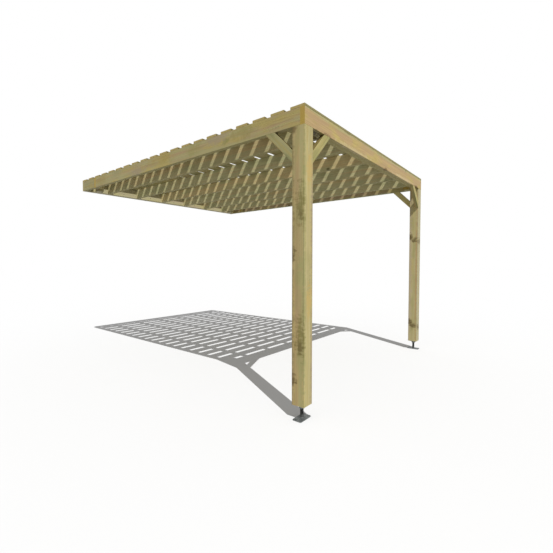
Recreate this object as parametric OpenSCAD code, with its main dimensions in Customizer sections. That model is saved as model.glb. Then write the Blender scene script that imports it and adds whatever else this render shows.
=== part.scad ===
// Lean-to timber pergola: two notched posts on adjustable steel feet carry a
// front beam and two side beams, which run back to a wall plate. Rafters span
// from a ledger behind the front beam to one on the wall plate, knee braces
// stiffen both posts, and open slats lie across the top.
// The back face of the wall plate lies in the plane Y = 0 with the origin at its
// centre, and the pergola stands out from it towards -Y.

/* [Overall] */
// Width over the outer faces of the two side beams
width = 3100; // [2400:10:4200]
// Depth from the front face of the front beam to the wall
depth = 4000; // [2800:10:5000]
// Height from the ground to the top of the slats
height = 2520; // [2250:10:3000]

/* [Posts] */
// Side of the square posts
post_side = 120; // [100:1:150]

/* [Frame timbers] */
// Depth of the beams, the rafters, the wall plate and the ledgers
beam_depth = 140; // [110:1:200]
// Thickness of the front beam, the side beams and their splice blocks
beam_thick = 45; // [35:1:60]
// Thickness of the rafters
rafter_thick = 45; // [32:1:60]
// Number of rafters, spread evenly over the clear width between the posts
rafter_count = 6; // [4:1:8]
// Thickness of the ledgers behind the front beam and in front of the wall plate
ledger_thick = 45; // [32:1:70]

/* [Front corners] */
// Width of the corner blocks, from the side beam inwards
corner_block_width = 120; // [75:1:140]
// Length of the corner blocks, from the post towards the wall
corner_block_length = 85; // [45:1:110]

/* [Wall end] */
// Thickness of the wall plate
plate_thick = 45; // [32:1:70]
// Distance from the wall to the back of a splice block
splice_setback = 384; // [300:1:700]
// Width of the packing blocks on the ends of the wall ledger
packing_width = 75; // [45:1:95]
// Length of the packing blocks, from the ledger towards the front
packing_length = 120; // [60:1:160]
// Distance from the outer face of a side beam to its packing block
packing_inset = 140; // [125:1:160]

/* [Slats] */
// Width of a slat
slat_width = 140; // [90:1:160]
// Thickness of a slat
slat_thick = 20; // [16:1:30]
// Number of slats from the front edge to the wall
slat_count = 20; // [16:1:22]

/* [Knee braces] */
// Reach of a brace along the post and along the beam, to its outer edge
brace_reach = 280; // [220:5:400]
// Width of a brace across its length
brace_width = 70; // [45:1:95]
// Thickness of a brace
brace_thick = 45; // [32:1:45]

/* [Adjustable feet] */
// Height from the ground to the underside of the post
foot_height = 120; // [90:1:160]
// Long side of the base plate
base_length = 155; // [140:1:200]
// Short side of the base plate
base_width = 85; // [80:1:110]
// Thickness of the base plate
base_thick = 8; // [5:1:12]
// Radius of the base plate's corners
base_corner_radius = 12; // [4:1:14]
// Distance between the anchor holes along the base plate
anchor_spacing_long = 120; // [100:1:120]
// Distance between the anchor holes across the base plate
anchor_spacing_short = 50; // [44:1:56]
// Diameter of the anchor holes
anchor_hole = 12; // [8:0.5:14]
// Diameter of the threaded rod
rod_diameter = 30; // [24:1:33]
// Length of the rod above the underside of the post
rod_rise = 90; // [60:1:150]
// Width across the flats of the nut that is welded under the head plate
nut_flats = 46; // [42:1:50]
// Height of the nut
nut_height = 24; // [18:1:28]
// Side of the square head plate under the post
head_side = 90; // [70:1:100]
// Thickness of the head plate
head_thick = 6; // [4:1:10]
// Gap all round the rod in the nut and the head plate
rod_clearance = 0.3; // [0.2:0.1:0.8]
// Gap all round the rod in its bore in the post
rod_bore_clearance = 1; // [0.5:0.5:3]
// Free depth of the bore above the end of the rod
rod_bore_spare = 10; // [5:1:20]

/* [Wall fixings] */
// Diameter of the bolt holes through the wall plate
wall_bolt_hole = 12; // [8:0.5:16]
// Vertical distance between the two rows of bolt holes
wall_bolt_rows = 70; // [50:1:80]

/* [Hidden] */
$fn = 64;
fit_eps = 0.5;

half_width = width / 2;
front_y = -depth;

// Heights, measured from the middle of the wall plate
slat_underside = beam_depth / 2;
beam_underside = -beam_depth / 2;
ground = slat_underside + slat_thick - height;
post_foot = ground + foot_height;

// Back of the front ledger, and front faces of the wall ledger and the splice blocks
front_ledger_back = front_y + beam_thick + ledger_thick;
ledger_front = -plate_thick - ledger_thick;
splice_back = -splice_setback;
splice_front = splice_back - beam_thick;

// Middle of a post, and the first rafter half a bay in from its inner face
post_x = half_width - post_side / 2;
post_y = front_y + post_side / 2;
rafter_bay = (width - 2 * post_side) / rafter_count;
function rafter_x(i) = -half_width + post_side + (i - 0.5) * rafter_bay;
slat_pitch = (depth - slat_width) / (slat_count - 1);

// The head plate lies under the post, with the nut welded below it
head_underside = post_foot - head_thick;
nut_underside = head_underside - nut_height;
base_top = ground + base_thick;
rod_bore_rise = rod_rise + rod_bore_spare;

function two_digits(i) = str(i < 10 ? "0" : "", i);
function rafter_name(i) = str("rafter_", i);
function slat_name(i) = str("slat_", two_digits(i));

// Mirrors what stands at the left (-1) to the right (+1)
module at_side(side) {
    if (side > 0) mirror([1, 0, 0]) children();
    else children();
}

// A timber between two opposite corners
module timber(low, high) {
    translate(low) cube(high - low);
}

// Left post: notched on its two outer faces, so that the front beam and the
// side beam sit on its shoulders, and bored from below for the rod of the foot
module left_post() {
    difference() {
        timber([-half_width, front_y, post_foot],
               [-half_width + post_side, front_y + post_side, slat_underside]);
        timber([-half_width - fit_eps, front_y - fit_eps, beam_underside],
               [-half_width + post_side + fit_eps, front_y + beam_thick, slat_underside + fit_eps]);
        timber([-half_width - fit_eps, front_y - fit_eps, beam_underside],
               [-half_width + beam_thick, front_y + post_side + fit_eps, slat_underside + fit_eps]);
        translate([-post_x, post_y, post_foot - fit_eps])
            cylinder(d = rod_diameter + 2 * rod_bore_clearance, h = rod_bore_rise + fit_eps);
    }
}

module post(side) {
    color("darkkhaki") at_side(side) left_post();
}

// Moves a foot under its post; the left one has its long side along X
module under_post(side) {
    translate([side * post_x, post_y, 0]) rotate(side > 0 ? 90 : 0) children();
}

module base_outline() {
    offset(r = base_corner_radius)
        square([base_length - 2 * base_corner_radius, base_width - 2 * base_corner_radius],
               center = true);
}

module foot_base(side) {
    color("dimgray") under_post(side)
        difference() {
            translate([0, 0, ground]) linear_extrude(base_thick) base_outline();
            for (x = [-1, 1], y = [-1, 1])
                translate([x * anchor_spacing_long / 2, y * anchor_spacing_short / 2, ground - fit_eps])
                    cylinder(d = anchor_hole, h = base_thick + 2 * fit_eps);
        }
}

module foot_rod(side) {
    color("slategray") under_post(side)
        translate([0, 0, base_top]) cylinder(d = rod_diameter, h = post_foot + rod_rise - base_top);
}

module foot_head(side) {
    color("dimgray") under_post(side)
        difference() {
            union() {
                translate([-head_side / 2, -head_side / 2, head_underside])
                    cube([head_side, head_side, head_thick]);
                translate([0, 0, nut_underside])
                    cylinder(d = nut_flats / cos(30), h = nut_height, $fn = 6);
            }
            translate([0, 0, nut_underside - fit_eps])
                cylinder(d = rod_diameter + 2 * rod_clearance, h = nut_height + head_thick + 2 * fit_eps);
        }
}

// The front beam runs over both posts and covers the ends of the side beams
module front_beam() {
    color("burlywood")
        timber([-half_width, front_y, beam_underside],
               [half_width, front_y + beam_thick, slat_underside]);
}

// The front ledger doubles the front beam between the posts and carries the
// front ends of the rafters
module front_ledger() {
    color("burlywood")
        timber([-half_width + post_side, front_y + beam_thick, beam_underside],
               [half_width - post_side, front_ledger_back, slat_underside]);
}

// The long part of a side beam runs from the back of the front beam to its splice
module side_beam(side) {
    color("darkkhaki") at_side(side)
        timber([-half_width, front_y + beam_thick, beam_underside],
               [-half_width + beam_thick, splice_front, slat_underside]);
}

// A corner block fills the corner behind a post, against the inside of the side beam
module corner_block(side) {
    color("peru") at_side(side)
        timber([-half_width + beam_thick, front_y + post_side, beam_underside],
               [-half_width + beam_thick + corner_block_width,
                front_y + post_side + corner_block_length, slat_underside]);
}

// A splice block joins the two parts of a side beam: its end grain lies flush
// with the outer face, and it reaches in as far as the post is wide
module splice_block(side) {
    color("peru") at_side(side)
        timber([-half_width, splice_front, beam_underside],
               [-half_width + post_side, splice_back, slat_underside]);
}

// The short part of a side beam runs on from the splice to the wall plate
module side_beam_end(side) {
    color("darkkhaki") at_side(side)
        timber([-half_width, splice_back, beam_underside],
               [-half_width + beam_thick, -plate_thick, slat_underside]);
}

// The two bolt holes in the middle of each bay between the rafters
module wall_bolt_holes() {
    for (i = [1:rafter_count - 1], z = [-1, 1])
        translate([rafter_x(i) + rafter_bay / 2, fit_eps, z * wall_bolt_rows / 2])
            rotate([90, 0, 0])
                cylinder(d = wall_bolt_hole, h = plate_thick + ledger_thick + 2 * fit_eps);
}

// The wall plate lies against the wall and closes the ends of the side beams
module wall_plate() {
    color("tan")
        difference() {
            timber([-half_width, -plate_thick, beam_underside], [half_width, 0, slat_underside]);
            wall_bolt_holes();
        }
}

// The wall ledger is bolted through the wall plate and carries the back ends of
// the rafters: it is as long as the clear width between the posts
module ledger() {
    color("tan")
        difference() {
            timber([-half_width + post_side, ledger_front, beam_underside],
                   [half_width - post_side, -plate_thick, slat_underside]);
            wall_bolt_holes();
        }
}

// A packing block on the front of the wall ledger, in the outermost bay
module packing_block(side) {
    color("darkkhaki") at_side(side)
        timber([-half_width + packing_inset, ledger_front - packing_length, beam_underside],
               [-half_width + packing_inset + packing_width, ledger_front, slat_underside]);
}

// Outline of a brace in its corner: 0 is where the post meets the beam's
// underside, with the post to the left and the beam above
module brace_outline() {
    inner = brace_reach - brace_width * sqrt(2);
    polygon([[0, -brace_reach], [brace_reach, 0], [inner, 0], [0, -inner]]);
}

// A front brace stands under the front beam, flush with its front face
module front_brace(side) {
    color("darkkhaki") at_side(side)
        translate([-half_width + post_side, front_y + brace_thick, beam_underside])
            rotate([90, 0, 0]) linear_extrude(brace_thick) brace_outline();
}

// A side brace stands under the side beam, flush with its outer face
module side_brace(side) {
    color("darkkhaki") at_side(side)
        translate([-half_width, front_y + post_side, beam_underside])
            rotate([90, 0, 90]) linear_extrude(brace_thick) brace_outline();
}

// Rafters run from the front ledger to the wall ledger, flush with both
module rafter(i) {
    color("olivedrab")
        timber([rafter_x(i) - rafter_thick / 2, front_ledger_back, beam_underside],
               [rafter_x(i) + rafter_thick / 2, ledger_front, slat_underside]);
}

// Slats lie across the rafters, the first flush with the front beam and the
// last against the wall
module slat(i) {
    y = front_y + (i - 1) * slat_pitch;
    color("yellowgreen")
        timber([-half_width, y, slat_underside],
               [half_width, y + slat_width, slat_underside + slat_thick]);
}

post(-1);  // post_left
post(1);  // post_right
foot_base(-1);  // foot_base_left
foot_base(1);  // foot_base_right
foot_rod(-1);  // foot_rod_left
foot_rod(1);  // foot_rod_right
foot_head(-1);  // foot_head_left
foot_head(1);  // foot_head_right
front_beam();
front_ledger();
side_beam(-1);  // side_beam_left
side_beam(1);  // side_beam_right
corner_block(-1);  // corner_block_left
corner_block(1);  // corner_block_right
splice_block(-1);  // splice_block_left
splice_block(1);  // splice_block_right
side_beam_end(-1);  // side_beam_end_left
side_beam_end(1);  // side_beam_end_right
wall_plate();
ledger();
packing_block(-1);  // packing_block_left
packing_block(1);  // packing_block_right
front_brace(-1);  // front_brace_left
front_brace(1);  // front_brace_right
side_brace(-1);  // side_brace_left
side_brace(1);  // side_brace_right
for (i = [1:rafter_count])
    rafter(i);
for (i = [1:slat_count])
    slat(i);
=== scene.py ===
# Lean-to timber pergola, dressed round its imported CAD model. All sizes are in metres.
import math
import random

import bmesh
import bpy
from mathutils import Matrix, Vector


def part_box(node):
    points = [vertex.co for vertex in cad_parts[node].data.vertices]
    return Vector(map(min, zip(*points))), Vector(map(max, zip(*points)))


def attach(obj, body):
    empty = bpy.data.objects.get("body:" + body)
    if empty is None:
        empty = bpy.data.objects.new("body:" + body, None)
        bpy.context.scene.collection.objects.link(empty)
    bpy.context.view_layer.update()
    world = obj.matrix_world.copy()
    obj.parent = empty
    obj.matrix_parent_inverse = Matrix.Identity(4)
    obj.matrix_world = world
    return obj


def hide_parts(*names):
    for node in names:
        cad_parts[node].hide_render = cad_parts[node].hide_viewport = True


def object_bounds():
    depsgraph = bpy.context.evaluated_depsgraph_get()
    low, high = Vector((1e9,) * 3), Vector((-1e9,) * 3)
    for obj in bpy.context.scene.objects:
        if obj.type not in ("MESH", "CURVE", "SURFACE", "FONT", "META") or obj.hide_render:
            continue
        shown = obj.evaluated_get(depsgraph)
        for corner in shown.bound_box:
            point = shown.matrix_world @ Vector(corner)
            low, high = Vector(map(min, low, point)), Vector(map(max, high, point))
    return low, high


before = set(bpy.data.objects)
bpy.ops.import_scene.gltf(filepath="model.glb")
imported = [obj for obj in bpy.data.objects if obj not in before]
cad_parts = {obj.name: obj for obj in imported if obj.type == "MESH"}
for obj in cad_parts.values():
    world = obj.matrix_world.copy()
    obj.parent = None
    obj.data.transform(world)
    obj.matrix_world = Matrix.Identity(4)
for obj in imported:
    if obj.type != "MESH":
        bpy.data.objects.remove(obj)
cad_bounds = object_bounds()


# ---- Camera ----
# A wide-angle camera at chest height, outside the front left corner. It looks along
# the front beam and up under the slats.
camera = bpy.data.cameras.new("camera")
camera.sensor_width = 36.0
camera.lens = 22.2604
camera.shift_x = 0.008422
camera.shift_y = -0.002715
camera_yaw = math.radians(38.9825)
camera_pitch = math.radians(-2.0039)
camera_object = bpy.data.objects.new("camera", camera)
camera_object.location = (-3.80091, -5.49285, -1.15195)
camera_object.rotation_euler = (math.pi / 2 + camera_pitch, 0.0, camera_yaw - math.pi / 2)
bpy.context.scene.collection.objects.link(camera_object)
bpy.context.scene.camera = camera_object
bpy.context.scene.view_settings.view_transform = "Standard"


# ---- Light, sky and floor ----
# A sun from the front left, and soft even light from all round, as in a light tent. The
# floor is plain, nearly white, and takes the shadows: it passes the soft light from below.
class Wire:
    """A socket in a node tree. Sums on it add Math nodes, and node() adds any other node."""

    def __init__(self, tree, socket=None):
        self.tree = tree
        self.socket = socket

    def node(self, kind, settings=None, inputs=None, output=0):
        made = self.tree.nodes.new(kind)
        for name, value in (settings or {}).items():
            setattr(made, name, value)
        for key, value in (inputs or {}).items():
            for one in value if isinstance(value, list) else [value]:
                if isinstance(one, Wire):
                    self.tree.links.new(one.socket, made.inputs[key])
                else:
                    made.inputs[key].default_value = one
        return Wire(self.tree, made.outputs[output] if made.outputs else None)

    def other(self, output):
        return Wire(self.tree, self.socket.node.outputs[output])

    def maths(self, operation, *values):
        return self.node("ShaderNodeMath", {"operation": operation}, dict(enumerate(values)))

    def __add__(self, value):
        return self.maths("ADD", self, value)

    def __sub__(self, value):
        return self.maths("SUBTRACT", self, value)

    def __rsub__(self, value):
        return self.maths("SUBTRACT", value, self)

    def __mul__(self, value):
        return self.maths("MULTIPLY", self, value)

    def __truediv__(self, value):
        return self.maths("DIVIDE", self, value)

    __radd__ = __add__
    __rmul__ = __mul__


def seen_directly(wire):
    """1 for camera, mirror and glass rays, and 0 for the rays that carry soft light."""
    camera_ray = wire.node("ShaderNodeLightPath", output="Is Camera Ray")
    glossy_ray = camera_ray.other("Is Glossy Ray")
    return camera_ray.maths("MAXIMUM", camera_ray.maths("MAXIMUM", camera_ray, glossy_ray),
                            camera_ray.other("Is Transmission Ray"))


sun_direction = Vector((0.3296, 0.6331, -1.0))
sun = bpy.data.lights.new("sun", "SUN")
sun.energy = 3.95
sun.angle = math.radians(0.25)
sun_object = bpy.data.objects.new("sun", sun)
sun_object.rotation_euler = sun_direction.to_track_quat("-Z", "Y").to_euler()
bpy.context.scene.collection.objects.link(sun_object)

sky_light = 0.40
world = bpy.data.worlds.new("sky")
world.use_nodes = True
world.node_tree.nodes.clear()
bpy.context.scene.world = world
wire = Wire(world.node_tree)
sky = wire.node("ShaderNodeBackground", {}, {
    "Color": (1.0, 1.0, 1.0, 1.0),
    "Strength": sky_light + (1.0 - sky_light) * seen_directly(wire),
})
wire.node("ShaderNodeOutputWorld", {}, {"Surface": sky})

floor_radius = 60.0
floor_grey = 0.66
floor_glow = 0.06
floor_mesh = bpy.data.meshes.new("floor")
shape = bmesh.new()
bmesh.ops.create_circle(shape, cap_ends=True, segments=64, radius=floor_radius,
                        matrix=Matrix.Translation((0.0, 0.0, cad_bounds[0][2])))
shape.to_mesh(floor_mesh)
shape.free()
floor = bpy.data.objects.new("floor", floor_mesh)
bpy.context.scene.collection.objects.link(floor)
floor_finish = bpy.data.materials.new("floor")
floor_finish.use_nodes = True
floor_finish.node_tree.nodes.clear()
wire = Wire(floor_finish.node_tree)
matt = wire.node("ShaderNodeBsdfDiffuse", {}, {"Color": (floor_grey, floor_grey, floor_grey, 1.0)})
glow = wire.node("ShaderNodeEmission", {}, {"Color": (1.0, 1.0, 1.0, 1.0), "Strength": floor_glow})
floor_shader = wire.node("ShaderNodeAddShader", {}, {0: matt, 1: glow})
wire.node("ShaderNodeOutputMaterial", {}, {"Surface": floor_shader})
floor_mesh.materials.append(floor_finish)
floor.visible_diffuse = False


# ---- Feet ----
# Each post stands on an adjustable foot of galvanised steel: a base plate with rounded
# corners, a threaded rod welded to it, and a head plate with a hexagon nut under it. Weld
# beads run round the rod and the nut.
def to_linear(red, green, blue):
    """A screen colour of 0 to 255 as the linear colour that a node takes."""
    return tuple(((c / 255 + 0.055) / 1.055) ** 2.4 for c in (red, green, blue)) + (1.0,)


def new_piece(name, mesh):
    piece = bpy.data.objects.new(name, mesh)
    bpy.context.scene.collection.objects.link(piece)
    return piece


def start_finish(name):
    """A new material and a wire into its empty tree."""
    finish = bpy.data.materials.new(name)
    finish.use_nodes = True
    finish.node_tree.nodes.clear()
    return finish, Wire(finish.node_tree)


def smooth(value, low, high, bottom=0.0, top=1.0):
    """An eased step from bottom to top while value goes from low to high."""
    return value.node("ShaderNodeMapRange", {"interpolation_type": "SMOOTHSTEP"},
                      {0: value, 1: low, 2: high, 3: bottom, 4: top})


def mix_colours(factor, one, two):
    return factor.node("ShaderNodeMix", {"data_type": "RGBA"}, {0: factor, 6: one, 7: two}, 2)


def cloud(wire, place, scale, detail=2.0, output=0):
    """Noise of about 0 to 1 round 0.5."""
    return wire.node("ShaderNodeTexNoise", {},
                     {"Vector": place, "Scale": scale, "Detail": detail}, output)


def steel_finish(name, colour, dark, spangle_size):
    """Dull galvanised steel, with a faint zinc spangle, stains and fine specks."""
    finish, wire = start_finish(name)
    place = wire.node("ShaderNodeTexCoord", output="Object")
    spangle = wire.node("ShaderNodeTexVoronoi", {}, {"Vector": place, "Scale": 1 / spangle_size}, 1)
    spangle = wire.node("ShaderNodeSeparateColor", {}, {"Color": spangle})
    stain = cloud(wire, place, 22.0, 4.0)
    speck = cloud(wire, place, 900.0, 2.0)
    shade = smooth(stain, 0.35, 0.7) * 0.6 + (spangle - 0.5) * 0.25 + (speck - 0.5) * 0.3
    surface = wire.node("ShaderNodeBump", {}, {
        "Strength": 0.5,
        "Distance": 0.0003,
        "Height": speck + spangle * 0.3,
    })
    shader = wire.node("ShaderNodeBsdfPrincipled", {}, {
        "Base Color": mix_colours(smooth(shade, -0.1, 0.8), colour, dark),
        "Metallic": 0.85,
        "Roughness": 0.45 + 0.2 * stain,
        "Normal": surface,
    })
    wire.node("ShaderNodeOutputMaterial", {}, {"Surface": shader})
    return finish


def cut_away(piece, *cutters):
    """Cuts the cutters' shapes out of a piece and removes the cutters."""
    for cutter in cutters:
        cut = piece.modifiers.new("cut", "BOOLEAN")
        cut.operation = "DIFFERENCE"
        cut.solver = "EXACT"
        cut.object = cutter
    graph = bpy.context.evaluated_depsgraph_get()
    mesh = bpy.data.meshes.new_from_object(piece.evaluated_get(graph))
    piece.modifiers.clear()
    piece.data = mesh
    for cutter in cutters:
        bpy.data.objects.remove(cutter)


def round_bar(name, radius, start, end, segments=48):
    """A plain closed cylinder between two points."""
    mesh = bpy.data.meshes.new(name)
    shape = bmesh.new()
    span = end - start
    turn = span.to_track_quat("Z", "Y").to_matrix().to_4x4()
    bmesh.ops.create_cone(shape, cap_ends=True, segments=segments, radius1=radius, radius2=radius,
                          depth=span.length, matrix=Matrix.Translation((start + end) / 2) @ turn)
    shape.to_mesh(mesh)
    shape.free()
    return new_piece(name, mesh)


def plain_block(name, low, high):
    mesh = bpy.data.meshes.new(name)
    shape = bmesh.new()
    size = Vector(high) - Vector(low)
    bmesh.ops.create_cube(shape, matrix=Matrix.Translation((Vector(high) + Vector(low)) / 2)
                          @ Matrix.Diagonal((*size, 1.0)))
    shape.to_mesh(mesh)
    shape.free()
    return new_piece(name, mesh)


def settle_shading(piece, crease=40.0):
    """Shades round edges smoothly and keeps flat faces flat, by weighting with area."""
    mesh = piece.data
    mesh.shade_smooth()
    shape = bmesh.new()
    shape.from_mesh(mesh)
    limit = math.cos(math.radians(crease))
    normals = []
    for face in shape.faces:
        for corner in face.loops:
            total = Vector()
            for near in corner.vert.link_faces:
                if near.normal.dot(face.normal) > limit:
                    total += near.normal * near.calc_area()
            normals.append(total.normalized())
    shape.free()
    mesh.normals_split_custom_set(normals)


galvanised = steel_finish("galvanised_plate", to_linear(124, 128, 127), to_linear(92, 95, 94), 0.006)
rod_steel = steel_finish("rod_steel", to_linear(92, 94, 92), to_linear(56, 56, 54), 0.004)
base_corner = 0.012
anchor_hole_radius = 0.006
anchor_spacing = (0.120, 0.050)
past_plate = Vector((0.0, 0.0, 0.02))
plate_edge = 0.0008

for side in ("left", "right"):
    node = f"foot_base_{side}"
    low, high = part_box(node)
    middle = (low + high) / 2
    plate = plain_block(node + "_plate", low, high)
    shape = bmesh.new()
    shape.from_mesh(plate.data)
    upright = [e for e in shape.edges if abs(e.verts[0].co.z - e.verts[1].co.z) > 0.001]
    bmesh.ops.bevel(shape, geom=upright, offset=base_corner, segments=8, profile=0.5,
                    affect="EDGES", clamp_overlap=False)
    rims = [e for e in shape.edges if abs(e.verts[0].co.z - e.verts[1].co.z) < 1e-6]
    bmesh.ops.bevel(shape, geom=rims, offset=plate_edge, segments=2, profile=0.5, affect="EDGES")
    shape.to_mesh(plate.data)
    shape.free()
    spacing = anchor_spacing if high.x - low.x > high.y - low.y else anchor_spacing[::-1]
    drills = []
    for x in (-1, 1):
        for y in (-1, 1):
            at = middle + Vector((x * spacing[0] / 2, y * spacing[1] / 2, 0.0))
            drills.append(round_bar("drill", anchor_hole_radius, at - past_plate, at + past_plate, 32))
    cut_away(plate, *drills)
    plate.data.materials.clear()
    plate.data.materials.append(galvanised)
    settle_shading(plate)
    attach(plate, "root")
    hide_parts(node)


bead_steps = 120
bead_sides = 8
bead_radius = 0.0032
bead_offset = 0.0008
bead_ripples = 26
ripple_share = 0.16


def weld_bead(name, reach, height, upward):
    """A rippled bead of weld round an upright part. reach gives the part's radius at an angle."""
    points = []
    for step in range(bead_steps):
        turn = 2 * math.pi * step / bead_steps
        ripple = 1.0 + ripple_share * abs(math.sin(turn * bead_ripples / 2))
        for part in range(bead_sides):
            bend = 2 * math.pi * part / bead_sides
            out = reach(turn) + bead_offset + bead_radius * ripple * math.cos(bend)
            up = height + upward * (bead_offset + bead_radius * ripple * math.sin(bend))
            points.append((out * math.cos(turn), out * math.sin(turn), up))
    faces = []
    for step in range(bead_steps):
        for part in range(bead_sides):
            a, b = step * bead_sides + part, step * bead_sides + (part + 1) % bead_sides
            c, d = (a + bead_sides) % len(points), (b + bead_sides) % len(points)
            faces.append((a, c, d, b) if upward > 0 else (a, b, d, c))
    mesh = bpy.data.meshes.new(name)
    mesh.from_pydata(points, [], faces)
    mesh.materials.append(galvanised)
    mesh.shade_smooth()
    return new_piece(name, mesh)


def place_bead(bead, middle):
    """Moves a bead's mesh to its part, and fixes it to the pergola."""
    bead.data.transform(Matrix.Translation((middle.x, middle.y, 0.0)))
    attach(bead, "root")


thread_pitch = 0.0035
thread_depth = 0.0019
thread_round = 32
thread_steps = 8
weld_overlap = 0.001
for side in ("left", "right"):
    node = f"foot_rod_{side}"
    low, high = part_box(node)
    middle = (low + high) / 2
    radius = (high.x - low.x) / 2
    rings = int(round((high.z - low.z) / thread_pitch * thread_steps))
    points = []
    for ring in range(rings + 1):
        z = low.z + (high.z - low.z) * ring / rings
        for step in range(thread_round):
            angle = 2 * math.pi * step / thread_round
            phase = ((z - low.z) / thread_pitch - step / thread_round) % 1.0
            # Flat crests and roots, with sloping flanks between them
            crest = min(1.0, max(0.0, abs(phase * 2 - 1) * 1.4 - 0.2))
            reach = radius - thread_depth * (1 - crest)
            if ring in (0, rings):
                reach = radius - thread_depth
            points.append((middle.x + reach * math.cos(angle), middle.y + reach * math.sin(angle), z))
    faces = [tuple(reversed(range(thread_round)))]
    for ring in range(rings):
        for step in range(thread_round):
            a = ring * thread_round + step
            b = ring * thread_round + (step + 1) % thread_round
            faces.append((a, b, b + thread_round, a + thread_round))
    faces.append(tuple(range(rings * thread_round, (rings + 1) * thread_round)))
    mesh = bpy.data.meshes.new(node + "_thread")
    mesh.from_pydata(points, [], faces)
    mesh.materials.append(rod_steel)
    rod = new_piece(node + "_thread", mesh)
    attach(rod, "root")
    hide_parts(node)
    plate_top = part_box(f"foot_base_{side}")[1].z
    place_bead(weld_bead(f"foot_weld_{side}", lambda turn: radius - weld_overlap, plate_top, 1), middle)

head_plate_thick = 0.006
nut_flats = 0.046
nut_edge = 0.0016
rod_clearance = 0.0003
past_head = 0.01
sixth = math.pi / 3
for side in ("left", "right"):
    node = f"foot_head_{side}"
    low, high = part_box(node)
    middle = (low + high) / 2
    plate_low = high.z - head_plate_thick
    head = plain_block(node + "_plate", (low.x, low.y, plate_low), high)
    shape = bmesh.new()
    shape.from_mesh(head.data)
    bmesh.ops.bevel(shape, geom=shape.edges[:], offset=plate_edge, segments=2, profile=0.5,
                    affect="EDGES")
    shape.to_mesh(head.data)
    shape.free()
    nut_radius = nut_flats / 2 / math.cos(math.pi / 6)
    nut = round_bar(node + "_nut", nut_radius, Vector((middle.x, middle.y, low.z)),
                    Vector((middle.x, middle.y, plate_low)), 6)
    shape = bmesh.new()
    shape.from_mesh(nut.data)
    lower = [e for e in shape.edges if max(v.co.z for v in e.verts) < low.z + 1e-6]
    bmesh.ops.bevel(shape, geom=lower, offset=nut_edge, segments=2, profile=0.5, affect="EDGES")
    shape.to_mesh(nut.data)
    shape.free()
    rod_radius = (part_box(f"foot_rod_{side}")[1].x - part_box(f"foot_rod_{side}")[0].x) / 2
    for piece in (head, nut):
        bore = round_bar("bore", rod_radius + rod_clearance,
                         Vector((middle.x, middle.y, low.z - past_head)),
                         Vector((middle.x, middle.y, high.z + past_head)), 64)
        cut_away(piece, bore)
        piece.data.materials.clear()
        piece.data.materials.append(galvanised)
        settle_shading(piece, 35.0)
        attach(piece, "root")
    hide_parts(node)
    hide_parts(node)
    place_bead(weld_bead(f"nut_weld_{side}",
                         lambda turn: nut_flats / 2 / math.cos(turn % sixth - sixth / 2),
                         plate_low, -1), middle)


# ---- Posts ----
# Two posts of pressure-treated softwood, sawn from the heart of the log and planed. Each
# is notched on its two outer faces for the beams, and bored from below for its rod.
def planed_boards_tree():
    """Boards with eased edges in a row, from the line of the first one and the step to the next."""
    tree = bpy.data.node_groups.new("planed_boards", "GeometryNodeTree")
    for name, kind in (("Boards", "Int"), ("Step", "Vector"), ("Start", "Vector"), ("End", "Vector"),
                       ("Width", "Float"), ("Height", "Float"), ("Eased Edge", "Float"),
                       ("Finish", "Material")):
        tree.interface.new_socket(name, in_out="INPUT", socket_type="NodeSocket" + kind)
    tree.interface.new_socket("Geometry", in_out="OUTPUT", socket_type="NodeSocketGeometry")
    start = Wire(tree).node("NodeGroupInput", output="Start")
    section = start.node("GeometryNodeCurvePrimitiveQuadrilateral", {"mode": "RECTANGLE"},
                         {"Width": start.other("Width"), "Height": start.other("Height")})
    section = start.node("GeometryNodeFilletCurve", {"mode": "POLY"}, {
        "Curve": section,
        "Count": 3,
        "Radius": start.other("Eased Edge"),
        "Limit Radius": True,
    })
    line = start.node("GeometryNodeCurvePrimitiveLine", {"mode": "POINTS"},
                      {"Start": start, "End": start.other("End")})
    line = start.node("GeometryNodeSetCurveNormal", {"mode": "Z_UP"}, {"Curve": line})
    board = start.node("GeometryNodeCurveToMesh", {},
                       {"Curve": line, "Profile Curve": section, "Fill Caps": True})
    row = start.node("GeometryNodeMeshLine", {"mode": "OFFSET"},
                     {"Count": start.other("Boards"), "Offset": start.other("Step")})
    boards = start.node("GeometryNodeInstanceOnPoints", {}, {"Points": row, "Instance": board})
    boards = start.node("GeometryNodeRealizeInstances", {}, {"Geometry": boards})
    boards = start.node("GeometryNodeSetMaterial", {},
                        {"Geometry": boards, "Material": start.other("Finish")})
    start.node("NodeGroupOutput", {}, {"Geometry": boards})
    return tree


def grow(name, tree, sizes, carrier=None):
    """The plain mesh piece that a Geometry Nodes tree makes with these sizes."""
    piece = new_piece(name, carrier or bpy.data.meshes.new(name))
    maker = piece.modifiers.new("maker", "NODES")
    maker.node_group = tree
    for item in tree.interface.items_tree:
        if item.in_out == "INPUT" and item.name in sizes:
            maker[item.identifier] = sizes[item.name]
    graph = bpy.context.evaluated_depsgraph_get()
    mesh = bpy.data.meshes.new_from_object(piece.evaluated_get(graph))
    piece.modifiers.clear()
    piece.data = mesh
    mesh.name = name
    return piece


planed_boards = planed_boards_tree()
eased_edge = 0.003
logs = random.Random(11)


def planed_timber(name, low, high, along, finish):
    """One straight timber that fills the box from low to high, with its grain along an axis."""
    start, end = (low + high) / 2, (low + high) / 2
    start[along], end[along] = low[along], high[along]
    size = high - low
    across = (size.x, size.y) if along == 2 else (size[1 - along], size.z)
    return grow(name, planed_boards, {
        "Boards": 1,
        "Step": (0.0, 0.0, 0.0),
        "Start": start,
        "End": end,
        "Width": across[0],
        "Height": across[1],
        "Eased Edge": eased_edge,
        "Finish": finish,
    })


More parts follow.
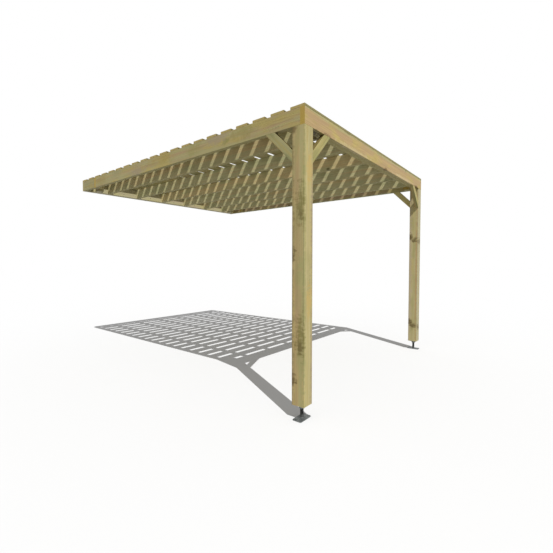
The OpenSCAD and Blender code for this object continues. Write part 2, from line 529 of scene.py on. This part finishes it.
def lay_grain(piece, along, pith, heart, tone, warmth=0.0):
    """Stores where each point lies in its log, for the timber's finish.

    along is the direction of the grain, pith a point on the log's middle line, heart the
    radius of the heartwood. tone makes a piece lighter by that share, and warmth makes it
    redder, from -1 to 1."""
    mesh = piece.data
    along = along.normalized()
    aside = Vector((1, 0, 0)) if abs(along.z) > 0.9 else along.cross(Vector((0, 0, 1))).normalized()
    third = along.cross(aside)
    offset = logs.uniform(0.0, 50.0)
    grain = mesh.attributes.new("grain", "FLOAT_VECTOR", "POINT")
    log = mesh.attributes.new("log", "FLOAT_VECTOR", "POINT")
    for vertex in mesh.vertices:
        from_pith = vertex.co - pith
        grain.data[vertex.index].vector = (from_pith.dot(aside), from_pith.dot(third),
                                           vertex.co.dot(along) + offset)
        log.data[vertex.index].vector = (heart, tone, warmth)
    # facing keeps which way each face points: to the side, up or down, or along the grain. The finish
    # uses it for end grain, and for painted shade on sides, upper sides and undersides.
    facing = mesh.attributes.new("facing", "FLOAT_VECTOR", "CORNER")
    for face in mesh.polygons:
        upward = -face.normal.dot(third)
        side = (face.normal.dot(aside) ** 4, upward * abs(upward) ** 3, face.normal.dot(along) ** 4)
        for corner in face.loop_indices:
            facing.data[corner].vector = side
    settle_shading(piece)


knot_cells_per_metre = 5.0
cells_with_knot = 0.36
no_knot = 9.0
ring_spacing = 0.0042


def knot_field(grain):
    """Distance from the nearest knot, where 1 is its rim. A knot is a cone from the pith."""
    apart = grain.node("ShaderNodeSeparateXYZ", {}, {0: grain})
    p, q, s = apart, apart.other(1), apart.other(2)
    radius = grain.maths("SQRT", p * p + q * q + 1e-6)
    place = grain.node("ShaderNodeCombineXYZ", {}, {
        0: p / radius * 0.5,
        1: q / radius * 0.5,
        2: s * knot_cells_per_metre,
    })
    cell = grain.node("ShaderNodeTexVoronoi", {}, {"Vector": place, "Scale": 1.0})
    kept = grain.node("ShaderNodeSeparateColor", {}, {"Color": cell.other("Color")})
    size = 0.05 + 0.055 * kept.other(1)
    return cell / size + no_knot * kept.maths("GREATER_THAN", kept, cells_with_knot)


def timber_finish(name, heart, sap, streak, patch, late, end, knot, knotty=True, marks=(),
                  edge=None, top=None, bottom=None):
    """Planed, pressure-treated softwood, cut out of a log with growth rings and knots.

    marks are soft stains and spots of painted shade: a middle, three radii, a colour and a strength.
    edge, top and bottom are darker colours for the sides, the upper side and the underside: painted
    shade."""
    finish, wire = start_finish(name)
    grain = wire.node("ShaderNodeAttribute", {"attribute_name": "grain"}, output="Vector")
    log = wire.node("ShaderNodeAttribute", {"attribute_name": "log"}, output="Vector")
    log = wire.node("ShaderNodeSeparateXYZ", {}, {0: log})
    heart_radius, tone, warmth = log, log.other(1), log.other(2)
    facing = wire.node("ShaderNodeAttribute", {"attribute_name": "facing"}, output="Vector")
    facing = wire.node("ShaderNodeSeparateXYZ", {}, {0: facing})
    end_grain = facing.other(2)

    def stretched(across, along, detail=2.0, output=0):
        place = wire.node("ShaderNodeVectorMath", {"operation": "MULTIPLY"},
                          {0: grain, 1: (1 / across, 1 / across, 1 / along)})
        return cloud(wire, place, 1.0, detail, output)

    # The pith wanders along the log, the rings wave, and both bend round the knots
    wander = wire.node("ShaderNodeVectorMath", {"operation": "SUBTRACT"},
                       {0: stretched(9.0, 1.1, 1.0, 1), 1: (0.5, 0.5, 0.5)})
    bent = wire.node("ShaderNodeVectorMath", {"operation": "MULTIPLY_ADD"},
                     {0: wander, 1: (0.035, 0.035, 0.0), 2: grain})
    apart = wire.node("ShaderNodeSeparateXYZ", {}, {0: bent})
    radius = wire.maths("SQRT", apart * apart + apart.other(1) * apart.other(1))
    radius = radius + (stretched(0.05, 0.5) - 0.5) * 0.012
    if knotty:
        knot_distance = knot_field(grain)
        radius = radius + smooth(knot_distance, 3.4, 0.6) * 0.010
    ring = wire.maths("FRACT", radius / ring_spacing + 1.4 * stretched(0.03, 2.0, 1.0))
    late_wood = smooth(ring, 0.35, 0.85) * smooth(ring, 1.0, 0.93)

    # Heartwood stays tan, and the sapwood round it takes the green of the treatment
    in_sap = smooth(radius - heart_radius + (stretched(0.02, 0.35) - 0.5) * 0.03, -0.008, 0.010)
    colour = mix_colours(in_sap, heart, sap)
    colour = mix_colours(smooth(stretched(0.022, 0.6, 3.0), 0.44, 0.70) * 0.60, colour, streak)
    colour = mix_colours(smooth(stretched(0.09, 0.30, 3.0), 0.46, 0.66) * 0.75, colour, patch)
    colour = mix_colours(late_wood * (0.16 + 0.16 * stretched(0.2, 0.8)), colour, late)
    fibre = stretched(0.0011, 0.05, 3.0)
    shade = 1.0 + (fibre - 0.5) * 0.26 + (stretched(0.008, 0.7) - 0.5) * 0.42 + tone
    # Painted shade: the sides, the upper side and the underside can take darker colours of their own.
    if edge:
        colour = mix_colours(facing * 0.9, colour, edge)
    if top:
        colour = mix_colours(smooth(facing.other(1), 0.1, 0.8, 0.0, 0.9), colour, top)
    if bottom:
        colour = mix_colours(smooth(facing.other(1), -0.1, -0.8, 0.0, 0.9), colour, bottom)
    here = wire.node("ShaderNodeTexCoord", output="Object")
    ragged = (stretched(0.016, 0.06, 2.0) - 0.5) * 1.5 + (stretched(0.05, 0.020, 1.0) - 0.5) * 1.7
    for middle, radii, mark, strength in marks:
        apart = wire.node("ShaderNodeVectorMath", {"operation": "SUBTRACT"}, {0: here, 1: middle})
        apart = wire.node("ShaderNodeVectorMath", {"operation": "DIVIDE"}, {0: apart, 1: radii})
        away = wire.node("ShaderNodeVectorMath", {"operation": "LENGTH"}, {0: apart}, "Value")
        colour = mix_colours(smooth(away + ragged, 1.25, 0.35) * strength, colour, mark)
    tint = wire.node("ShaderNodeCombineXYZ", {}, {0: shade * (1.0 + 0.06 * warmth), 1: shade,
                                                  2: shade * (1.0 - 0.12 * warmth)})
    colour = wire.node("ShaderNodeMix", {"data_type": "RGBA", "blend_type": "MULTIPLY"},
                       {0: 1.0, 6: colour, 7: tint}, 2)

    # Knots are dark and ringed, with a green stain of resin round them
    if knotty:
        colour = mix_colours(smooth(knot_distance, 2.6, 0.9) * 0.45, colour, knot)
        in_knot = smooth(knot_distance, 1.12, 0.88)
        knot_ring = wire.maths("FRACT", knot_distance * 4.0)
        dark_knot = tuple(c * 0.7 for c in knot[:3]) + (1.0,)
        colour = mix_colours(in_knot * (0.45 + 0.35 * knot_ring), colour, dark_knot)

    # End grain drinks more of the treatment, and drying opens fine checks along the grain
    colour = mix_colours(end_grain * 0.75, colour, end)
    colour = mix_colours(end_grain * late_wood * 0.5, colour, late)
    crack = wire.maths("ABSOLUTE", stretched(0.016, 0.45, 1.0) - 0.5)
    crack = smooth(crack, 0.0035, 0.0008) * smooth(stretched(0.10, 0.6, 1.0), 0.56, 0.64)
    colour = mix_colours(crack * 0.7, colour, tuple(c * 0.3 for c in late[:3]) + (1.0,))

    height = late_wood * 0.10 + fibre * 0.12 - crack * 0.9 - end_grain * fibre * 0.2
    if knotty:
        height = height + in_knot * 0.15
    surface = wire.node("ShaderNodeBump", {}, {"Strength": 1.0, "Distance": 0.0008, "Height": height})
    shader = wire.node("ShaderNodeBsdfPrincipled", {}, {
        "Base Color": colour,
        "Roughness": 0.70 - 0.10 * late_wood + 0.12 * (fibre - 0.5),
        "Specular IOR Level": 0.25,
        "Normal": surface,
    })
    wire.node("ShaderNodeOutputMaterial", {}, {"Surface": shader})
    return finish


# The colours of the timber, its knots and its stains
tan = to_linear(184, 158, 112)
khaki = to_linear(180, 173, 122)
yellow = to_linear(188, 170, 100)
pinkish = to_linear(180, 150, 114)
green = to_linear(146, 148, 98)
late_brown = to_linear(140, 112, 64)
knot_green = to_linear(104, 98, 52)
knot_brown = to_linear(108, 82, 44)
sawn_end = to_linear(188, 160, 62)
light_green = to_linear(172, 174, 112)
brown = to_linear(176, 142, 100)
amber = to_linear(196, 164, 92)
dusty_pink = to_linear(176, 158, 134)
stain_brown = to_linear(104, 88, 52)
edge_grey = to_linear(142, 128, 86)
corner_green = to_linear(149, 149, 96)
resin_green = to_linear(116, 104, 50)
pink_grey = to_linear(156, 140, 114)

# Each stain is a middle, three radii, a colour and a strength. The long patches come first,
# and the resin and the dark knots lie over them.
post_marks = {
    "left": [((-1.555, -4.005, -1.2), (0.024, 0.022, 1.5), corner_green, 0.70),
             ((-1.55, -3.875, -1.2), (0.012, 0.026, 1.6), edge_grey, 0.80),
             ((-1.55, -3.965, -1.2), (0.010, 0.030, 1.4), light_green, 0.30),
             ((-1.55, -3.93, -0.47), (0.010, 0.040, 0.16), pinkish, 0.45),
             ((-1.55, -3.95, -1.00), (0.010, 0.050, 0.22), tan, 0.50),
             ((-1.55, -3.94, -1.50), (0.010, 0.045, 0.16), pinkish, 0.45),
             ((-1.422, -4.00, -0.92), (0.038, 0.010, 0.62), pink_grey, 0.80),
             ((-1.422, -4.00, -1.98), (0.038, 0.010, 0.62), pink_grey, 0.80),
             ((-1.48, -4.00, -0.40), (0.045, 0.010, 0.16), amber, 0.50),
             ((-1.48, -4.00, -1.46), (0.045, 0.010, 0.13), amber, 0.55),
             ((-1.56, -3.965, -0.70), (0.030, 0.055, 0.18), resin_green, 0.60),
             ((-1.56, -3.965, -1.74), (0.030, 0.055, 0.18), resin_green, 0.64),
             ((-1.55, -3.960, -0.77), (0.020, 0.026, 0.05), stain_brown, 0.40),
             ((-1.55, -3.960, -1.83), (0.020, 0.026, 0.05), stain_brown, 0.55),
             ((-1.55, -3.885, -0.09), (0.030, 0.040, 0.06), stain_brown, 0.75),
             ((-1.55, -3.885, -1.08), (0.030, 0.040, 0.06), stain_brown, 0.80),
             ((-1.55, -3.885, -2.10), (0.030, 0.040, 0.07), stain_brown, 0.80)],
    "right": [((1.43, -3.983, -1.3), (0.010, 0.014, 1.3), brown, 0.70),
              ((1.43, -3.89, -1.3), (0.010, 0.034, 1.2), dusty_pink, 0.60),
              ((1.49, -4.00, -1.3), (0.120, 0.010, 2.5), to_linear(156, 148, 118), 0.75),
              ((1.43, -3.89, -0.76), (0.030, 0.045, 0.045), stain_brown, 0.95),
              ((1.43, -3.95, -0.81), (0.030, 0.050, 0.040), stain_brown, 0.85),
              ((1.43, -3.90, -2.03), (0.030, 0.050, 0.050), stain_brown, 0.95),
              ((1.43, -3.95, -2.08), (0.030, 0.050, 0.045), stain_brown, 0.85),
              ((1.49, -4.00, -0.83), (0.070, 0.030, 0.045), stain_brown, 0.75),
              ((1.49, -4.00, -2.10), (0.070, 0.030, 0.045), stain_brown, 0.75)],
}
post_shades = {"left": (0.02, 0.0), "right": (0.17, -0.3)}
pith_outward = 0.030
pith_backward = 0.034
post_heart = 0.052
past_post = 0.02
bore_clearance = 0.001
past_rod = 0.01

for side in ("left", "right"):
    node = f"post_{side}"
    out = -1 if side == "left" else 1
    low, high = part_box(node)
    finish = timber_finish(node, to_linear(188, 166, 118), to_linear(184, 172, 123), yellow,
                           to_linear(168, 160, 108), late_brown, sawn_end, knot_green,
                           knotty=False, marks=post_marks[side])
    post = planed_timber(node + "_planed", low, high, 2, finish)
    middle = (low + high) / 2
    beam_low, beam_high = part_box("front_beam")
    side_low, side_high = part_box(f"side_beam_{side}")
    rod_low, rod_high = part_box(f"foot_rod_{side}")
    front_notch = plain_block("notch", (low.x - past_post, low.y - past_post, beam_low.z),
                              (high.x + past_post, beam_high.y, high.z + past_post))
    side_notch = plain_block(
        "notch", (side_low.x - past_post * (out < 0), low.y - past_post, beam_low.z),
        (side_high.x + past_post * (out > 0), high.y + past_post, high.z + past_post))
    bore = round_bar("bore", (rod_high.x - rod_low.x) / 2 + bore_clearance,
                     Vector((middle.x, middle.y, low.z - past_post)),
                     Vector((middle.x, middle.y, rod_high.z + past_rod)), 48)
    cut_away(post, front_notch, side_notch, bore)
    pith = middle + Vector((out * pith_outward, pith_backward, 0.0))
    lay_grain(post, Vector((0, 0, 1)), pith, post_heart, *post_shades[side])
    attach(post, "root")
    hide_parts(node)


# ---- Front beam and front ledger ----
# The front beam lies in the front notches of both posts, flush with their faces. A second
# timber of the same section is fixed behind it, between the posts, and carries the rafters.
def fit_timber(node, along, finish, pith, heart, tone=0.0, warmth=0.0):
    """A straight timber in place of a node. pith is the log's middle, seen from the timber's."""
    low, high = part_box(node)
    timber = planed_timber(node + "_planed", low, high, along, finish)
    direction = Vector((0, 0, 0))
    direction[along] = 1.0
    lay_grain(timber, direction, (low + high) / 2 + Vector(pith), heart, tone, warmth)
    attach(timber, "root")
    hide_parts(node)


beam_marks = [((0.0, -4.0, 0.075), (6.0, 0.03, 0.018), to_linear(160, 150, 98), 0.45),
              ((-1.20, -4.0, -0.070), (0.08, 0.03, 0.022), knot_brown, 0.75),
              ((0.16, -4.0, -0.070), (0.07, 0.03, 0.022), knot_brown, 0.80),
              ((1.32, -4.0, -0.072), (0.12, 0.03, 0.022), knot_brown, 0.85),
              ((-0.70, -4.0, -0.060), (0.40, 0.03, 0.022), to_linear(204, 186, 142), 0.60),
              ((0.75, -4.0, -0.055), (0.40, 0.03, 0.022), to_linear(204, 186, 142), 0.60),
              ((-0.82, -4.0, 0.072), (0.08, 0.03, 0.016), knot_green, 0.60),
              ((0.45, -4.0, 0.072), (0.16, 0.03, 0.016), knot_green, 0.55),
              ((-1.55, -3.12, -0.010), (0.03, 0.050, 0.035), to_linear(124, 128, 62), 0.50),
              ((-1.55, -3.00, 0.035), (0.03, 0.170, 0.050), to_linear(170, 152, 124), 0.70),
              ((-1.55, -3.32, 0.020), (0.03, 0.150, 0.080), to_linear(158, 146, 84), 0.60),
              ((-1.55, -2.62, 0.000), (0.03, 0.120, 0.070), to_linear(160, 154, 92), 0.55),
              ((-1.55, -2.05, 0.030), (0.03, 0.260, 0.060), to_linear(170, 150, 82), 0.55),
              ((-1.55, -1.55, -0.020), (0.03, 0.180, 0.060), to_linear(166, 150, 126), 0.65),
              ((-1.55, -1.05, 0.030), (0.03, 0.180, 0.050), to_linear(160, 154, 112), 0.55),
              ((-1.55, -0.60, 0.000), (0.03, 0.160, 0.060), to_linear(166, 148, 84), 0.55),
              # A painted shadow: a dark spot of painted shade in the near front corner, under the beams
              # beside the corner block.
              ((-1.36, -3.93, -0.075), (0.13, 0.060, 0.025), to_linear(78, 72, 44), 0.95)]
# The beams' undersides take a darker colour, which is painted shade.
beam_finish = timber_finish("beam_timber", tan, khaki, pinkish, yellow, late_brown, sawn_end,
                            knot_green, marks=beam_marks, bottom=to_linear(160, 149, 91))
fit_timber("front_beam", 0, beam_finish, (0.0, 0.055, -0.02), 0.106, -0.02)
fit_timber("front_ledger", 0, beam_finish, (0.0, -0.05, 0.02), 0.06)


# ---- Side beams and splices ----
# Each side beam runs back to a splice block, which stands across it and shows its end grain
# outside. A short beam goes on from there to the wall plate. A block fills the corner between
# each post and its side beam.
for side in ("left", "right"):
    out = -1 if side == "left" else 1
    fit_timber(f"side_beam_{side}", 1, beam_finish, (-out * 0.05, 0.0, 0.01), 0.07,
               -0.08 if side == "left" else 0.07, 0.0 if side == "left" else -1.5)
    fit_timber(f"corner_block_{side}", 0, beam_finish, (0.0, 0.02, 0.03), 0.05)
    fit_timber(f"splice_block_{side}", 0, beam_finish, (0.0, 0.05, 0.01), 0.05)
    fit_timber(f"side_beam_end_{side}", 1, beam_finish, (-out * 0.05, 0.0, 0.01), 0.06,
               -0.20, -0.3)


# ---- Wall plate, wall ledger and packing blocks ----
# The wall plate is bolted to the wall through the ledger, which carries the rafters. A
# packing block is screwed to each end of the ledger.
plate_finish = timber_finish("wall_plate_timber", to_linear(186, 168, 130), to_linear(182, 176, 138),
                             dusty_pink, khaki, late_brown, khaki, knot_green)
bolt_hole_radius = 0.006
bolt_row = 0.035
past_timber = 0.01
bolt_holes = []
rafter_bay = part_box("rafter_2")[0].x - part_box("rafter_1")[0].x
for column in range(-2, 3):
    for row in (-bolt_row, bolt_row):
        bolt_holes.append((column * rafter_bay, row))
for node, pith, heart in (("wall_plate", (0.0, 0.05, 0.0), 0.07), ("ledger", (0.0, 0.06, 0.02), 0.08)):
    low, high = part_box(node)
    timber = planed_timber(node + "_planed", low, high, 0, plate_finish)
    drills = [round_bar("drill", bolt_hole_radius, Vector((x, low.y - past_timber, z)),
                        Vector((x, high.y + past_timber, z)), 24) for x, z in bolt_holes]
    cut_away(timber, *drills)
    lay_grain(timber, Vector((1, 0, 0)), (low + high) / 2 + Vector(pith), heart, 0.0)
    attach(timber, "root")
    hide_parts(node)
for side in ("left", "right"):
    fit_timber(f"packing_block_{side}", 1, plate_finish, (0.05, 0.0, 0.0), 0.06)


# ---- Knee braces ----
# Short diagonal timbers between each post and its two beams, sawn at 45 degrees at both
# ends and flush with the outer faces.
# The braces' upper faces take a dark colour, which is painted shade.
brace_finish = timber_finish("brace_timber", tan, khaki, yellow, green, late_brown, sawn_end,
                             knot_green, top=to_linear(104, 92, 52))
brace_width = 0.070
brace_spare = 0.1
diagonal = 1.4143
brace_pith = Vector((0.01, 0.03, 0.0))
brace_heart = 0.03
for side in ("left", "right"):
    out = -1 if side == "left" else 1
    for kind, run in (("front", Vector((-out, 0, 1))), ("side", Vector((0, 1, 1)))):
        node = f"{kind}_brace_{side}"
        low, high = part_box(node)
        middle = (low + high) / 2
        reach = high.z - low.z
        foot = Vector((high.x if out > 0 else low.x, middle.y, low.z))
        if kind == "side":
            foot = Vector((middle.x, low.y, low.z))
        inward = Vector((-run.x, -run.y, run.z)).normalized() * brace_width / 2
        foot += inward
        run.normalize()
        thick = high.y - low.y if kind == "front" else high.x - low.x
        # The board starts out too long, and both its ends are then sawn off
        brace = grow(node + "_planed", planed_boards, {
            "Boards": 1,
            "Step": (0.0, 0.0, 0.0),
            "Start": foot - run * brace_spare,
            "End": foot + run * (reach * diagonal + brace_spare),
            "Width": thick,
            "Height": brace_width,
            "Eased Edge": eased_edge,
            "Finish": brace_finish,
        })
        shape = bmesh.new()
        shape.from_mesh(brace.data)
        toward = Vector((-out, 0, 0)) if kind == "front" else Vector((0, 1, 0))
        for point, normal in ((foot - inward, -toward), (Vector((0, 0, high.z)), Vector((0, 0, 1)))):
            whole = shape.verts[:] + shape.edges[:] + shape.faces[:]
            cut = bmesh.ops.bisect_plane(shape, geom=whole, plane_co=point, plane_no=normal,
                                         clear_outer=True)
            rim = [e for e in cut["geom_cut"] if isinstance(e, bmesh.types.BMEdge)]
            bmesh.ops.contextual_create(shape, geom=rim)
        bmesh.ops.recalc_face_normals(shape, faces=shape.faces[:])
        shape.to_mesh(brace.data)
        shape.free()
        tone, warmth = (-0.06, 0.9) if kind == "front" else (-0.12, -0.3) if out < 0 else (0.45, 0.3)
        lay_grain(brace, run, middle + inward * 0.5 + brace_pith, brace_heart, tone, warmth)
        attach(brace, "root")
        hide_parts(node)


# ---- Rafters ----
# Six rafters on edge between the front ledger and the wall ledger, flush with both. Their
# undersides and the front end of the first one are painted darker: painted shade.
# The middle of the dark spot of painted shade at the front end of the first rafter.
first_rafter_end = Vector((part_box("rafter_1")[0].x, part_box("rafter_1")[0].y + 0.04, -0.07))
rafter_finish = timber_finish("rafter_timber", to_linear(214, 199, 148), to_linear(206, 200, 152),
                              to_linear(216, 188, 138), to_linear(188, 188, 140), late_brown,
                              sawn_end, knot_green, bottom=to_linear(151, 140, 86),
                              marks=[(first_rafter_end, (0.08, 0.12, 0.16),
                                      to_linear(96, 86, 50), 0.80)])
rafter_nodes = [f"rafter_{number}" for number in range(1, 7)]
for node in rafter_nodes:
    pith = (logs.choice((-1, 1)) * logs.uniform(0.03, 0.07), 0.0, logs.uniform(-0.05, 0.05))
    fit_timber(node, 1, rafter_finish, pith, logs.uniform(0.04, 0.09),
               logs.uniform(-0.03, 0.03), logs.uniform(-0.2, 0.2))


# ---- Slats ----
# Twenty planed boards lie across the rafters, evenly spaced from the front beam to the wall,
# each fixed with two screws to every timber under it.
# The long edges of the slats take a dark colour, which is painted shade. The mark takes it back on the
# open front edge of the first slat.
slat_finish = timber_finish("slat_timber", to_linear(184, 172, 120), to_linear(168, 162, 110),
                            pinkish, to_linear(150, 146, 96), late_brown,
                            to_linear(192, 172, 106), knot_green, edge=to_linear(92, 82, 44),
                            marks=[((0.0, -4.0, 0.08), (6.0, 0.02, 0.03),
                                    to_linear(146, 136, 88), 1.0)])
slat_nodes = [f"slat_{number:02d}" for number in range(1, 21)]
first_low, first_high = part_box(slat_nodes[0])
slat_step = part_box(slat_nodes[1])[0] - first_low
slat_middle = (first_low + first_high) / 2
slat_size = first_high - first_low
slats = grow("slats", planed_boards, {
    "Boards": len(slat_nodes),
    "Step": slat_step,
    "Start": (first_low.x, slat_middle.y, slat_middle.z),
    "End": (first_high.x, slat_middle.y, slat_middle.z),
    "Width": slat_size.y,
    "Height": slat_size.z,
    "Eased Edge": eased_edge,
    "Finish": slat_finish,
})
slat_points = len(slats.data.vertices) // len(slat_nodes)
for number, node in enumerate(slat_nodes):
    shape = bmesh.new()
    shape.from_mesh(slats.data)
    shape.verts.ensure_lookup_table()
    others = [v for v in shape.verts if v.index // slat_points != number]
    bmesh.ops.delete(shape, geom=others, context="VERTS")
    mesh = bpy.data.meshes.new(node + "_board")
    shape.to_mesh(mesh)
    shape.free()
    mesh.materials.append(slat_finish)
    slat = new_piece(node + "_board", mesh)
    low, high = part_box(node)
    pith = (low + high) / 2 + Vector((0.0, logs.uniform(-0.05, 0.05),
                                      logs.choice((-1, 1)) * logs.uniform(0.02, 0.09)))
    lay_grain(slat, Vector((1, 0, 0)), pith, logs.uniform(0.03, 0.09), logs.uniform(-0.12, 0.0),
              logs.uniform(-0.6, 0.6))
    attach(slat, "root")
    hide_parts(node)
bpy.data.objects.remove(slats)


def screw_heads_tree():
    """Countersunk screw heads with a recess, on the points of the mesh that carries the tree."""
    tree = bpy.data.node_groups.new("screw_heads", "GeometryNodeTree")
    for name, kind in (("Carrier", "Geometry"), ("Head Radius", "Float"), ("Head Height", "Float"),
                       ("Recess Share", "Float"), ("Recess Depth", "Float"), ("Finish", "Material")):
        tree.interface.new_socket(name, in_out="INPUT", socket_type="NodeSocket" + kind)
    tree.interface.new_socket("Geometry", in_out="OUTPUT", socket_type="NodeSocketGeometry")
    carrier = Wire(tree).node("NodeGroupInput", output="Carrier")
    head = carrier.node("GeometryNodeMeshCylinder", {"fill_type": "NGON"}, {
        "Vertices": 12,
        "Radius": carrier.other("Head Radius"),
        "Depth": carrier.other("Head Height"),
    })
    top = head.other("Top")
    rim = head.node("GeometryNodeExtrudeMesh", {"mode": "FACES"},
                    {"Mesh": head, "Selection": top, "Offset Scale": 0.0, "Individual": False})
    top = rim.other("Top")
    share = carrier.other("Recess Share")
    inner = rim.node("GeometryNodeScaleElements", {"domain": "FACE"},
                     {"Geometry": rim, "Selection": top, "Scale": share})
    recess = inner.node("GeometryNodeExtrudeMesh", {"mode": "FACES"}, {
        "Mesh": inner,
        "Selection": top,
        "Offset Scale": 0.0 - carrier.other("Recess Depth"),
        "Individual": False,
    })
    turn = carrier.node("FunctionNodeRandomValue", {"data_type": "FLOAT_VECTOR"},
                        {0: (0.0, 0.0, 0.0), 1: (0.0, 0.0, math.tau), "Seed": 5})
    heads = carrier.node("GeometryNodeInstanceOnPoints", {},
                         {"Points": carrier, "Instance": recess, "Rotation": turn})
    heads = carrier.node("GeometryNodeRealizeInstances", {}, {"Geometry": heads})
    heads = carrier.node("GeometryNodeSetMaterial", {},
                         {"Geometry": heads, "Material": carrier.other("Finish")})
    carrier.node("NodeGroupOutput", {}, {"Geometry": heads})
    return tree


screw_steel = steel_finish("screw_steel", to_linear(140, 142, 138), to_linear(100, 100, 96), 0.002)
screw_head_radius = 0.0042
screw_head_height = 0.0012
screw_head_sunk = 0.0004
recess_share = 0.45
recess_depth = 0.0008
screw_from_edge = 0.035
screw_wander = 0.004
spots = []
for node in slat_nodes:
    low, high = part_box(node)
    for under in rafter_nodes + ["side_beam_left", "side_beam_right"]:
        beam_low, beam_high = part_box(under)
        for y in (low.y + screw_from_edge, high.y - screw_from_edge):
            x = (beam_low.x + beam_high.x) / 2 + logs.uniform(-screw_wander, screw_wander)
            y += logs.uniform(-screw_wander, screw_wander)
            spots.append((x, y, high.z - screw_head_sunk))
screw_places = bpy.data.meshes.new("screw_places")
screw_places.from_pydata(spots, [], [])
screws = grow("slat_screws", screw_heads_tree(), {
    "Head Radius": screw_head_radius,
    "Head Height": screw_head_height,
    "Recess Share": recess_share,
    "Recess Depth": recess_depth,
    "Finish": screw_steel,
}, screw_places)
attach(screws, "root")


bpy.context.view_layer.update()
